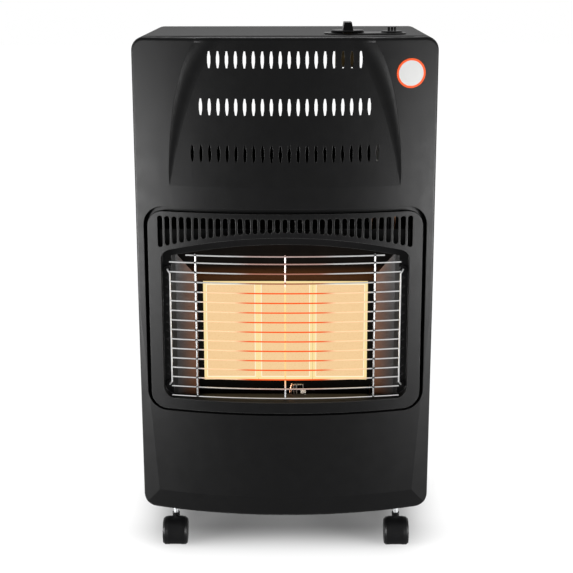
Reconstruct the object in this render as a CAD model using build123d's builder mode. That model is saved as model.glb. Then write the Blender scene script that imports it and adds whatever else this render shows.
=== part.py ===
"""Portable gas cabinet heater: a bowed, pressed steel front with a three-plaque radiant burner behind
a wire guard, a folded casing that holds a gas bottle behind a lift-off rear cover, a control knob and
an igniter button on top, and four swivelling twin-wheel castors.

Millimetres. +Z is up and the front faces -Y. The origin is on the floor, under the middle.
Heights with "head", "foot" or "height" in their name count from the front panel's bottom edge, and
set-backs count from the upright plane through the front panel's two side edges.
"""

import os
from math import sqrt

from build123d import *

os.makedirs("parts", exist_ok=True)

# ---------------------------------------------------------------------- driving dimensions

# Cabinet
cabinet_width = 420.0
panel_height = 688.0
ground_clearance = 66.0
casing_depth = 289.0
front_bulge = 39.0
cover_bulge = 78.0
sheet = 1.0
corner_radius = 19.0
edge_radius = 5.0
fit_gap = 0.2
wire_sides = 6
small_sides = 12

# Front pressing: return flange, recess at the top, bevels at the foot
flange_depth = 16.0
lap_depth = 4.0
recess_depth = 14.0
recess_sections = (-0.05, 0.1, 0.3, 0.55, 0.8, 1.05)
recess_top_half_width = 107.0
recess_foot_half_width = 161.0
recess_foot = 486.0
recess_cheek_slope = 2.4
foot_bevel_height = 32.0
foot_bevel_depth = 8.0
side_bevel_head = 334.0
side_bevel_width = 27.0
side_bevel_depth = 8.0

# Lens-shaped slots in the recess
lens_width = 4.4
lens_height = 22.5
lens_waist = 7.5
lens_tip = 2.0
lens_pitch = 12.1
lens_row_spacing = 63.2
lens_first_row = 531.6
lens_row_counts = (22, 20, 18)

# Plain round badge on the front
badge_radius = 20.0
badge_side_inset = 38.3
badge_height = 639.4
badge_thickness = 0.5

# Window in the front pressing, and the burner surround inside it
window_margin = 11.2
window_foot = 156.8
window_head = 455.9
window_corner = 28.0
groove_width = 5.5
groove_foot_width = 3.2
groove_head_width = 7.0
groove_depth = 8.0
surround_setback = 1.0
surround_lap = 6.0
surround_band = 23.8
mouth_foot = 175.9
mouth_shoulder = 391.0
mouth_crown = 415.8
mouth_corner = 16.0
ring_setback = 5.0
ring_flange = 13.5
ring_foot = 152.0
ring_head = 420.0
ring_shoulder = 382.0
ring_crown = 397.5

# Grille slots above the mouth, and the pierced marks beside it
grille_pitch = 10.3
grille_slot_width = 7.4
grille_slot_corner = 2.2
grille_slot_head = 442.4
grille_slot_margin = 6.8
notch_count = 12
notch_size = 4.0
notch_spacing = 13.0

# Burner
plaque_count = 3
plaque_width = 79.4
plaque_height = 149.0
plaque_thickness = 13.0
plaque_rim = 5.0
plaque_field_depth = 1.0
plaque_joint = 0.4
plaque_setback = 36.0
plaque_foot = 187.5
burner_flange = 7.0
mixing_height = 32.0
reflector_fold = 8.0
burner_back = 66.0
bell_mouth_radius = 9.0
manifold_radius = 5.0
manifold_drop = 13.0
manifold_overhang = 24.0
injector_radius = 4.0
injector_tip_radius = 1.8
injector_height = 5.0
injector_tip_height = 2.0
hanger_thickness = 2.0
hanger_width = 12.0

# Guard
guard_wire = 2.0
guard_rod = 2.5
weld_gap = 0.05
guard_side_gap = 11.5
guard_inner_rod = 126.5
guard_bow = 16.5
guard_setback = -8.0
guard_pitch = 14.1
guard_first_wire = 178.2
guard_wire_count = 15
guard_top_gap = 10.8
guard_top_side_gap = 35.0
guard_rod_end = 1.6
eyelet_inset = 8.0
eyelet_radius = 5.0
eyelet_reach = 6.0
eyelet_low = 193.0
eyelet_high = 363.0

# Heat shield and rear cover
shield_setback = 70.0
shield_head = 504.0
shield_flange = 12.0
rear_flange = 24.0
cover_foot = 8.0
cover_head = 514.0
cover_side_inset = 22.0
cover_side_taper = 24.0
cover_flange = 14.0
cover_slot_count = 9
cover_slot_pitch = 30.0
cover_slot_width = 6.0
cover_slot_height = 46.0
cover_slot_rows = (94.0, 404.0)
tab_length = 8.0
tab_width = 12.0
tab_inset = 14.0
tab_heights = (64.0, 464.0)

# Base tray and bottom of the casing
foot_flange = 32.0
tray_sheet = 1.5
tray_wall = 22.0
stand_half_width = 135.0
stand_front_setback = 85.0
stand_height = 1.0
stand_margin = 3.0
tongue_rim = 14.0
drain_length = 90.0
drain_width = 8.0
drain_spacing = 60.0
drain_slot_length = 50.0
drain_count = 3
screw_radius = 2.0
screw_head_radius = 4.0
screw_head_height = 2.0
screw_inset = 16.0

# Hand-holds in the casing's sides
hand_hold_length = 90.0
hand_hold_width = 28.0
hand_hold_height = 604.0
hand_hold_setback = 215.0

# Controls on the top
knob_x = 87.5
button_x = 149.5
control_setback = 60.0
bezel_x = 112.0
bezel_length = 114.0
bezel_width = 50.0
bezel_corner = 20.0
bezel_thickness = 2.0
skirt_radius = 23.0
skirt_height = 3.0
skirt_gap = 0.6
skirt_margin = 0.5
grip_width = 14.5
grip_top_width = 10.5
grip_length = 40.0
grip_height = 11.1
spindle_radius = 4.0
spindle_grip = 6.0
plunger_radius = 6.5
plunger_length = 18.0
plunger_floor = 2.0
push_travel = 2.5
bore_clearance = 0.05
stop_gap = 0.3
neck_radius = 8.5
valve_width = 34.0
valve_depth = 30.0
valve_height = 44.0
valve_outlet_drop = 12.0
valve_inlet_rise = 10.0
button_radius = 6.0
button_height = 8.0
button_length = 20.0
button_travel = 5.0
button_slot = 1.7
button_slot_pitch = 4.2
button_slot_depth = 5.5
igniter_radius = 9.0
igniter_length = 48.0
collar_radius = 14.7
collar_height = 2.4
nozzle_radius = 4.5
nozzle_length = 24.0
nozzle_lead = 1.5
nozzle_nut_radius = 7.0
nozzle_nut_length = 6.0

# Pilot group
pilot_setback = 16.0
pilot_x = 14.0
pilot_head = 186.0
pilot_leg_spacing = 3.8
pilot_leg_radius = 1.0
pilot_base_radius = 4.0
pilot_foot_radius = 2.0
pilot_hoop_ease = 0.7
pilot_base_height = 12.0
thermocouple_x = 5.4
thermocouple_lean = 4.0
thermocouple_radius = 1.6
electrode_x = 26.0
ceramic_radius = 3.8
ceramic_head = 178.0
spark_wire_radius = 0.9
spark_wire_head = 186.0
spark_wire_reach = 9.0
pilot_plate_margin = 8.0
shelf_side_gap = 18.0

# Pipes and leads inside
gas_pipe_radius = 4.0
gas_pipe_x = 134.0
gas_pipe_bend = 8.0
pilot_pipe_radius = 1.5
pilot_pipe_x = 126.0
thermocouple_lead_radius = 1.0
thermocouple_lead_x = 158.0
spark_lead_radius = 1.5
thin_bend = 3.0
lead_drop = 5.0

# Castors
castor_side_inset = 44.3
castor_inset = 31.0
castor_trail = 13.0
castor_width = 36.0
wheel_radius = 20.0
wheel_width = 9.0
wheel_side_gap = 0.6
running_gap = 0.8
hood_thickness = 1.8
hood_skirt = 13.0
hood_rear_skirt = 2.0
hood_edge = 3.0
hood_edge_drop = 3.4
hood_crown = 8.0
hood_crown_drop = 1.0
hood_rim = 0.8
wheel_edge = 2.5
axle_radius = 2.5
hub_radius = 7.0
stem_radius = 3.5
collar_top = 45.4
stem_collar_radius = 5.5
socket_radius = 6.0
socket_drop = 8.0
socket_wall = 1.0
socket_reach = 16.0

# ---------------------------------------------------------------------- places worked out

overall_depth = front_bulge + casing_depth + cover_bulge
side_edge_y = front_bulge - overall_depth / 2
casing_back_y = side_edge_y + casing_depth
half_width = cabinet_width / 2
cabinet_top = ground_clearance + panel_height
badge_x = half_width - badge_side_inset
window_half_width = half_width - window_margin
mouth_half_width = window_half_width - surround_band
grille_count = 2 * int((mouth_half_width + sheet) / grille_pitch) + 1
guard_half_width = mouth_half_width - guard_side_gap
guard_top_half_width = mouth_half_width - guard_top_side_gap
eyelet_x = mouth_half_width - eyelet_inset
shelf_half_width = mouth_half_width - shelf_side_gap
cover_half_width = half_width - cover_side_inset
cover_back_half_width = cover_half_width - cover_side_taper
tab_x = half_width - tab_inset
castor_x = half_width - castor_side_inset
bow_radius = (half_width**2 + front_bulge**2) / (2 * front_bulge)
bow_centre_y = side_edge_y - front_bulge + bow_radius
beyond = cabinet_width


def behind(setback):
    """The Y of the plane this far behind the front panel's side edges."""
    return side_edge_y + setback


def above(height):
    """The Z of a height counted from the front panel's bottom edge."""
    return ground_clearance + height


def facing(y):
    """The upright plane at this Y, seen from the front: its own x is X and its own y is Z."""
    return Plane.XZ.offset(-y)


def bow_y(x, depth=0.0):
    """The Y of the surface this far behind the bowed front."""
    return bow_centre_y - sqrt((bow_radius - depth) ** 2 - x**2)


def arc_radius(half_chord, rise):
    return (half_chord**2 + rise**2) / (2 * rise)


def arch_height(x, half_chord, shoulder, crown):
    """Height at this X of an arch that springs from the shoulders and tops out at the crown."""
    radius = arc_radius(half_chord, crown - shoulder)
    return crown - radius + sqrt(radius**2 - x**2)


# ---------------------------------------------------------------------- shared shapes


def rounded_outline(side, foot, head, corner):
    """A round-cornered rectangle as seen from the front, centred on the cabinet."""
    with BuildSketch() as outline:
        with Locations((0, above((foot + head) / 2))):
            RectangleRounded(2 * side, head - foot, corner)
    return outline.sketch


def cabinet_outline(inset):
    return rounded_outline(half_width - inset, inset, panel_height - inset, corner_radius - inset)


def window_outline(inset):
    side = window_half_width - inset
    return rounded_outline(side, window_foot + inset, window_head - inset, window_corner - inset)


def band_outline(inset):
    """The surround's raised band, inside the groove that runs round it."""
    return rounded_outline(
        window_half_width - groove_width - inset,
        window_foot + groove_foot_width + inset,
        window_head - groove_head_width - inset,
        window_corner - groove_width - inset,
    )


def mouth_outline(inset):
    """The burner mouth: straight sides and foot under an arched head."""
    side = mouth_half_width - inset
    foot = above(mouth_foot + inset)
    shoulder = above(mouth_shoulder - inset)
    crown = above(mouth_crown - inset)
    with BuildSketch() as outline:
        with BuildLine():
            ThreePointArc((-side, shoulder), (0, crown), (side, shoulder))
            Polyline((side, shoulder), (side, foot), (-side, foot), (-side, shoulder))
        make_face()
        fillet(outline.vertices(), mouth_corner - inset)
    return outline.sketch


def prism(outline, front, back):
    """The outline, as seen from the front, between two upright planes."""
    with BuildPart() as block:
        with BuildSketch(facing(back)):
            add(outline)
        extrude(amount=back - front)
    return block.part


def bowed_solid(outline, depth, back):
    """The outline's prism, from a flat back up to the surface this far behind the bowed front."""
    side = half_width + corner_radius
    start = bow_y(side, depth)
    with BuildPart() as solid:
        add(prism(outline, back - overall_depth, back))
        with BuildSketch(Plane.XY):
            with BuildLine():
                ThreePointArc((-side, start), (0, bow_y(0, depth)), (side, start))
                Polyline((side, start), (side, start + beyond), (-side, start + beyond), (-side, start))
            make_face()
        extrude(amount=cabinet_top + beyond, mode=Mode.INTERSECT)
    return solid.part


def bowed_layer(outline, depth, thickness):
    """The outline's part of a layer that starts this far behind the bowed front."""
    side = half_width + corner_radius
    start = bow_y(side, depth)
    end = bow_y(side, depth + thickness)
    with BuildPart() as layer:
        add(prism(outline, side_edge_y - beyond, side_edge_y + beyond))
        with BuildSketch(Plane.XY):
            with BuildLine():
                ThreePointArc((-side, start), (0, bow_y(0, depth)), (side, start))
                Line((side, start), (side, end))
                ThreePointArc((side, end), (0, bow_y(0, depth + thickness)), (-side, end))
                Line((-side, end), (-side, start))
            make_face()
        extrude(amount=cabinet_top + beyond, mode=Mode.INTERSECT)
    return layer.part


def folded_sheet(plane, points, side, length, thickness=sheet):
    """A folded sheet: the row of points is its edge in this plane, and it runs along the normal."""
    with BuildPart() as folded:
        with BuildSketch(plane):
            with BuildLine():
                Polyline(*points)
                offset(amount=thickness, side=side)
            make_face()
        extrude(amount=length)
    return folded.part


def rod(points, radius, bend=None, sides=wire_sides):
    """A wire or a pipe along a row of points, its corners eased over this length where given."""
    with BuildPart() as swept:
        with BuildLine() as path:
            if bend:
                corners = [Vector(*point) for point in points]
                eased = [corners[0]]
                for before, corner, after in zip(corners, corners[1:], corners[2:]):
                    eased.append(corner + (before - corner).normalized() * bend)
                    eased.append(corner + (after - corner).normalized() * bend)
                Polyline(*eased, corners[-1])
            else:
                Polyline(*points)
        with BuildSketch(Plane(origin=path.line @ 0, z_dir=path.line % 0)):
            RegularPolygon(radius, sides)
        sweep(path=path.line, transition=Transition.RIGHT)
    return swept.part


# ---------------------------------------------------------------------- front panel


def recess_half_width(height):
    """Half the recess's width at its crease, which flares from the top down to its foot."""
    share = (panel_height - height) / (panel_height - recess_foot)
    flare = sqrt(1 - (1 - share) ** 2)
    return recess_top_half_width + (recess_foot_half_width - recess_top_half_width) * flare


def recess_tool(inset):
    """What the press pushes in: plan sections from under the recess's foot to past the top edge."""
    front = side_edge_y - 2 * front_bulge
    with BuildPart() as tool:
        for share in recess_sections:
            height = recess_foot + share * (panel_height - recess_foot)
            depth = recess_depth * share
            crease_x = recess_half_width(min(height, panel_height)) + sheet
            crease_y = bow_y(crease_x) - sheet
            floor_x = crease_x - recess_cheek_slope * depth - 3 * sheet - inset
            floor_y = bow_y(floor_x, depth + inset)
            with BuildSketch(Plane.XY.offset(above(height))):
                with BuildLine():
                    floor_middle = (0, bow_y(0, depth + inset))
                    floor = ThreePointArc((-floor_x, floor_y), floor_middle, (floor_x, floor_y))
                    TangentArc((floor_x, floor_y), (crease_x + inset, crease_y), tangent=floor % 1)
                    Polyline(
                        (crease_x + inset, crease_y),
                        (crease_x + inset, front),
                        (-crease_x - inset, front),
                        (-crease_x - inset, crease_y),
                    )
                    TangentArc(
                        (-floor_x, floor_y), (-crease_x - inset, crease_y), tangent=(floor % 0) * -1
                    )
                make_face()
        loft()
    return tool.part


def foot_bevel(inset):
    """The wedge taken off along the panel's bottom edge, following the bow."""
    side = half_width + corner_radius
    front = side_edge_y - 2 * front_bulge
    with BuildPart() as wedge:
        for height, depth in ((-foot_bevel_height, 2 * foot_bevel_depth), (foot_bevel_height, 0)):
            start = bow_y(side, depth + inset)
            with BuildSketch(Plane.XY.offset(above(height))):
                with BuildLine():
                    ThreePointArc((-side, start), (0, bow_y(0, depth + inset)), (side, start))
                    Polyline((side, start), (side, front), (-side, front), (-side, start))
                make_face()
        loft()
    return wedge.part


def side_bevel_plane(hand):
    """The plane that takes the bevel off one side: its normal points out of the panel."""
    top = Vector(hand * half_width, side_edge_y, above(side_bevel_head))
    crease = Vector(
        hand * (half_width - side_bevel_width), bow_y(half_width - side_bevel_width), above(0)
    )
    edge = Vector(hand * half_width, side_edge_y + side_bevel_depth, above(0))
    return Plane(origin=top, z_dir=(crease - top).cross(edge - top) * hand)


def pressed_solid(inset):
    """The front panel's outer form or, with an inset of one sheet, the hollow inside it."""
    back = behind(flange_depth + inset)
    with BuildPart() as form:
        add(bowed_solid(cabinet_outline(inset), inset, back))
        add(foot_bevel(inset), mode=Mode.SUBTRACT)
        for hand in (-1, 1):
            split(bisect_by=side_bevel_plane(hand).offset(-inset), keep=Keep.BOTTOM)
        add(recess_tool(inset), mode=Mode.SUBTRACT)
        walls = form.faces().filter_by(lambda f: abs(f.bounding_box().max.Y - back) < fit_gap)
        walls = walls.filter_by(lambda f: f.bounding_box().size.Y > sheet)
        rim = walls.edges().filter_by(lambda e: e.bounding_box().max.Y < back - sheet)
        fillet(rim, edge_radius - inset)
    return form.part


def lens_outline():
    side = lens_width / 2
    end = lens_height / 2
    waist = lens_waist / 2
    tip = lens_tip / 2
    right = [(tip, end), (side, waist), (side, -waist), (tip, -end)]
    left = [(-x, z) for x, z in reversed(right)]
    with BuildSketch() as lens:
        with BuildLine():
            Polyline(*right, *left, close=True)
        make_face()
    return lens.sketch


def build_front_panel():
    lip_depth = groove_depth + surround_setback
    with BuildPart() as front_panel:
        add(pressed_solid(0))
        add(pressed_solid(sheet), mode=Mode.SUBTRACT)
        # The window's edge turns inwards to meet the surround
        add(bowed_layer(window_outline(-sheet), sheet / 2, lip_depth - sheet / 2))
        add(prism(window_outline(0), side_edge_y - beyond, behind(beyond)), mode=Mode.SUBTRACT)
        with BuildSketch(facing(side_edge_y)):
            for row, count in enumerate(lens_row_counts):
                with Locations((0, above(lens_first_row + row * lens_row_spacing))):
                    with GridLocations(lens_pitch, lens_pitch, count, 1):
                        add(lens_outline())
        extrude(amount=2 * front_bulge, mode=Mode.SUBTRACT)
    front_panel.part.label = "front_panel"
    export_step(front_panel.part, "parts/front_panel.step")


def build_round_badge():
    with BuildSketch() as disc:
        with Locations((badge_x, above(badge_height))):
            Circle(badge_radius)
    round_badge = bowed_layer(disc.sketch, -badge_thickness - weld_gap, badge_thickness)
    round_badge.label = "round_badge"
    export_step(round_badge, "parts/round_badge.step")


# ---------------------------------------------------------------------- casing and base tray


def build_casing():
    joint = behind(flange_depth + fit_gap)
    lap_inset = sheet + fit_gap
    top_y = behind(control_setback)
    # Joggled lip that the front panel's flange slips over
    with BuildPart() as lip:
        add(prism(cabinet_outline(sheet), joint, joint + lap_depth))
        add(prism(cabinet_outline(lap_inset), joint - lap_depth, joint))
        through = prism(cabinet_outline(lap_inset + sheet), joint - beyond, joint + beyond)
        add(through, mode=Mode.SUBTRACT)
        with BuildSketch(facing(joint + lap_depth)):
            with Locations((0, above(panel_height / 2))):
                with GridLocations(cabinet_width, panel_height, 2, 2):
                    Rectangle(2 * corner_radius + lap_depth, 2 * corner_radius + lap_depth)
        extrude(amount=2 * lap_depth, mode=Mode.SUBTRACT)

    with BuildPart() as casing:
        add(prism(cabinet_outline(0), joint, casing_back_y))
        add(prism(cabinet_outline(sheet), joint, casing_back_y - sheet), mode=Mode.SUBTRACT)
        add(lip.part)
        # Open back inside the rear flange, down through the bottom
        with BuildSketch(facing(casing_back_y)):
            with Locations((0, above((panel_height - rear_flange) / 2))):
                Rectangle(cabinet_width - 2 * rear_flange, panel_height - rear_flange)
        extrude(amount=2 * sheet, mode=Mode.SUBTRACT)
        # Open bottom between the two turned-in feet
        open_front = joint - lap_depth - sheet
        with BuildSketch(Plane.XY.offset(above(0))):
            with Locations((0, (open_front + casing_back_y) / 2)):
                Rectangle(cabinet_width - 2 * foot_flange, casing_back_y - open_front)
        extrude(amount=3 * sheet, mode=Mode.SUBTRACT)
        with BuildSketch(Plane.YZ.offset(-half_width)):
            with Locations((behind(hand_hold_setback), above(hand_hold_height))):
                SlotOverall(hand_hold_length, hand_hold_width)
        extrude(amount=cabinet_width, mode=Mode.SUBTRACT)
        with BuildSketch(Plane.XY.offset(cabinet_top)):
            with Locations((knob_x, top_y)):
                RegularPolygon(neck_radius + fit_gap, small_sides, major_radius=False)
            with Locations((button_x, top_y)):
                RegularPolygon(igniter_radius + fit_gap, small_sides, major_radius=False)
        extrude(amount=-2 * sheet, mode=Mode.SUBTRACT)
        # Slots in the rear flange for the cover's tabs
        with BuildSketch(facing(casing_back_y)):
            for height in tab_heights:
                with Locations((tab_x, above(height)), (-tab_x, above(height))):
                    Rectangle(sheet + 4 * fit_gap, tab_width + 4 * fit_gap)
        extrude(amount=2 * sheet, mode=Mode.SUBTRACT)
        with BuildSketch(Plane.XY.offset(above(0))):
            with Locations(*screw_places()):
                RegularPolygon(screw_radius + fit_gap, wire_sides)
        extrude(amount=2 * sheet, mode=Mode.SUBTRACT)
    casing.part.label = "casing"
    export_step(casing.part, "parts/casing.step")


def screw_places():
    x = half_width - (foot_flange + corner_radius) / 2
    front = behind(flange_depth + screw_inset)
    back = casing_back_y - screw_inset
    return [(x, front), (-x, front), (x, back), (-x, back)]


def castor_places():
    """The four swivel axes: name, X and Y."""
    front = behind(castor_inset)
    back = casing_back_y - castor_inset
    return [
        ("front_left", -castor_x, front),
        ("front_right", castor_x, front),
        ("rear_left", -castor_x, back),
        ("rear_right", castor_x, back),
    ]


tray_inset = sheet + fit_gap
tray_top = above(tray_inset + tray_sheet)


def build_base_tray():
    front = behind(flange_depth + lap_depth + fit_gap)
    back = casing_back_y - sheet - fit_gap
    tongue_back = casing_back_y + cover_bulge - sheet - tray_inset
    front_x = cover_half_width - 2 * tray_inset - sheet
    back_x = cover_back_half_width - 2 * tray_inset - sheet
    tongue = [(-front_x, back), (-back_x, tongue_back), (back_x, tongue_back), (front_x, back)]
    with BuildPart() as base_tray:
        add(prism(cabinet_outline(tray_inset), front, back))
        inner = cabinet_outline(tray_inset + tray_sheet)
        add(prism(inner, front + tray_sheet, casing_back_y), mode=Mode.SUBTRACT)
        with BuildSketch(Plane.XY.offset(above(tray_wall))):
            Rectangle(2 * beyond, 2 * beyond)
        extrude(amount=beyond * 2, mode=Mode.SUBTRACT)
        # Tongue that carries the back of the bottle, rimmed inside the rear cover
        with BuildSketch(Plane.XY.offset(above(tray_inset))):
            with BuildLine():
                Polyline(*tongue, close=True)
            make_face()
        extrude(amount=tray_sheet)
        rim = folded_sheet(
            Plane.XY.offset(above(tray_inset)), tongue, Side.RIGHT, tongue_rim, tray_sheet
        )
        add(rim)
        # Shallow raised stand for the bottle, pressed up from below
        stand_front = behind(stand_front_setback)
        stand_back = tongue_back - 2 * tray_sheet - stand_margin
        for inset, level, amount, mode in (
            (0, tray_top, stand_height, Mode.ADD),
            (tray_sheet, tray_top - tray_sheet, stand_height, Mode.SUBTRACT),
        ):
            with BuildSketch(Plane.XY.offset(level)):
                with Locations((0, (stand_front + stand_back) / 2)):
                    Rectangle(2 * (stand_half_width - inset), stand_back - stand_front - 2 * inset)
            extrude(amount=amount, mode=mode)
        with BuildSketch(Plane.XY.offset(above(0))):
            with Locations(*[(x, y) for _, x, y in castor_places()]):
                RegularPolygon(socket_radius + fit_gap, wire_sides)
            with Locations(*screw_places()):
                RegularPolygon(screw_radius + fit_gap, wire_sides)
            with Locations((0, (front + back) / 2)):
                with GridLocations(drain_length, drain_spacing, 2, drain_count):
                    Rectangle(drain_slot_length, drain_width)
        extrude(amount=2 * (tray_inset + tray_sheet), mode=Mode.SUBTRACT)
    base_tray.part.label = "base_tray"
    export_step(base_tray.part, "parts/base_tray.step")

    with BuildPart() as tray_screws:
        with BuildSketch(Plane.XY.offset(above(0))):
            with Locations(*screw_places()):
                RegularPolygon(screw_head_radius, wire_sides)
        extrude(amount=-screw_head_height)
        with BuildSketch(Plane.XY.offset(above(0))):
            with Locations(*screw_places()):
                RegularPolygon(screw_radius, wire_sides)
        extrude(amount=tray_inset + tray_sheet + sheet)
    tray_screws.part.label = "tray_screws"
    export_step(tray_screws.part, "parts/tray_screws.step")


# ---------------------------------------------------------------------- burner surround


def build_burner_surround():
    flange_front = groove_depth + surround_setback + fit_gap
    ring_front = behind(ring_setback)
    raised = band_outline(0)
    hollow = band_outline(sheet)
    with BuildPart() as burner_surround:
        # Side walls of the raised band, and the flange that laps behind the front panel's window
        add(bowed_layer(raised, surround_setback, flange_front + sheet - surround_setback))
        add(bowed_layer(window_outline(-surround_lap), flange_front, sheet))
        add(prism(hollow, side_edge_y - beyond, side_edge_y + beyond), mode=Mode.SUBTRACT)
        add(bowed_layer(raised, surround_setback, sheet))
        # Wall round the mouth, back to a ring that frames the fire
        add(bowed_solid(mouth_outline(-sheet), surround_setback, ring_front))
        with BuildSketch(facing(ring_front + sheet)):
            with Locations((0, above((ring_foot + ring_head) / 2))):
                Rectangle(2 * (mouth_half_width + 2 * sheet), ring_head - ring_foot)
        extrude(amount=sheet)
        add(prism(mouth_outline(0), side_edge_y - beyond, ring_front), mode=Mode.SUBTRACT)
        side = mouth_half_width - ring_flange
        with BuildSketch(facing(ring_front + sheet)):
            with BuildLine():
                shoulder = above(ring_shoulder)
                ThreePointArc((-side, shoulder), (0, above(ring_crown)), (side, shoulder))
                foot = above(ring_foot - sheet)
                Polyline((side, shoulder), (side, foot), (-side, foot), (-side, shoulder))
            make_face()
        extrude(amount=2 * sheet, mode=Mode.SUBTRACT)
        # Eyelets that hold the guard's four legs
        places = [(hand * eyelet_x, above(z)) for hand in (-1, 1) for z in (eyelet_low, eyelet_high)]
        with BuildSketch(facing(ring_front)):
            with Locations(*places):
                RegularPolygon(eyelet_radius, small_sides)
        extrude(amount=eyelet_reach)
        with BuildSketch(facing(ring_front + sheet)):
            with Locations(*places):
                RegularPolygon(guard_rod / 2 + fit_gap, wire_sides, major_radius=False)
        extrude(amount=eyelet_reach + 2 * sheet, mode=Mode.SUBTRACT)
        # Pierced notches beside the fire
        middle = above((eyelet_low + eyelet_high) / 2)
        with BuildSketch(facing(ring_front + sheet)):
            for hand, turn in ((-1, 60), (1, 0)):
                with Locations((hand * eyelet_x, middle)):
                    with GridLocations(notch_spacing, notch_spacing, 1, notch_count):
                        RegularPolygon(notch_size, 3, rotation=turn)
        extrude(amount=2 * sheet, mode=Mode.SUBTRACT)
        # Grille: one height along the top, and feet that follow the mouth's arch
        head = above(grille_slot_head)
        with BuildSketch(facing(side_edge_y)) as slots:
            for index in range(grille_count):
                x = (index - (grille_count - 1) / 2) * grille_pitch
                arch = arch_height(x, mouth_half_width, mouth_shoulder, mouth_crown)
                foot = above(arch + grille_slot_margin)
                with Locations((x, (head + foot) / 2)):
                    Rectangle(grille_slot_width, head - foot)
            chamfer(slots.vertices(), grille_slot_corner)
        extrude(amount=2 * front_bulge, mode=Mode.SUBTRACT)
    burner_surround.part.label = "burner_surround"
    export_step(burner_surround.part, "parts/burner_surround.step")


# ---------------------------------------------------------------------- fire box

housing_half_width = (plaque_count * plaque_width + (plaque_count + 1) * plaque_joint) / 2
plaque_head = plaque_foot + plaque_height
housing_foot = plaque_foot - mixing_height
burner_y = behind((plaque_setback + plaque_thickness + burner_back) / 2)
fire_back = plaque_setback - fit_gap
reflector_front = ring_setback + sheet + fit_gap
hood_foot = plaque_head + plaque_joint + sheet + burner_flange + fit_gap
shelf_height = ring_foot + sheet
pilot_y = behind(pilot_setback)
pilot_plate_top = above(shelf_height + fit_gap + tray_sheet)


def build_fire_box():
    hood_points = [
        (behind(reflector_front), above(ring_head - sheet)),
        (behind(reflector_front), above(ring_crown + sheet)),
        (behind(plaque_setback), above(hood_foot)),
    ]
    hood = folded_sheet(Plane.YZ.offset(-shelf_half_width), hood_points, Side.LEFT, 2 * shelf_half_width)
    hood.label = "hood"
    export_step(hood, "parts/hood.step")

    # Side reflectors, trimmed under the hood's slope
    fold_x = shelf_half_width
    fold_y = behind(reflector_front + reflector_fold)
    for hand, side, name in ((-1, Side.LEFT, "reflector_left"), (1, Side.RIGHT, "reflector_right")):
        points = [
            (hand * (mouth_half_width + sheet), behind(reflector_front)),
            (hand * (mouth_half_width - ring_flange), behind(reflector_front)),
            (hand * fold_x, fold_y),
            (hand * (housing_half_width + sheet + burner_flange + fit_gap), behind(fire_back)),
        ]
        with BuildPart() as reflector:
            height = ring_head - shelf_height
            add(folded_sheet(Plane.XY.offset(above(shelf_height + fit_gap)), points, side, height))
            with BuildSketch(Plane.YZ.offset(-half_width)):
                with BuildLine():
                    Polyline(
                        (behind(ring_setback), above(ring_crown)),
                        (behind(reflector_front + sheet), above(ring_crown)),
                        (behind(plaque_setback), above(hood_foot - 2 * sheet)),
                        (behind(burner_back), above(hood_foot - 2 * sheet)),
                        (behind(burner_back), above(panel_height)),
                        (behind(ring_setback), above(panel_height)),
                        close=True,
                    )
                make_face()
            extrude(amount=cabinet_width, mode=Mode.SUBTRACT)
        reflector.part.label = name
        export_step(reflector.part, f"parts/{name}.step")

    depth = fire_back - reflector_front
    with BuildPart() as lower_shelf:
        with BuildSketch(Plane.XY.offset(above(shelf_height - sheet))):
            with Locations((0, behind(reflector_front + depth / 2))):
                Rectangle(2 * shelf_half_width, depth)
            with Locations(((thermocouple_x + electrode_x) / 2, pilot_y)):
                span = electrode_x - thermocouple_x + 2 * pilot_base_radius + sheet
                Rectangle(span, 2 * pilot_base_radius + sheet, mode=Mode.SUBTRACT)
        extrude(amount=sheet)
    lower_shelf.part.label = "lower_shelf"
    export_step(lower_shelf.part, "parts/lower_shelf.step")


def plaque_centres():
    pitch = plaque_width + plaque_joint
    return [(index - (plaque_count - 1) / 2) * pitch for index in range(plaque_count)]


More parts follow.
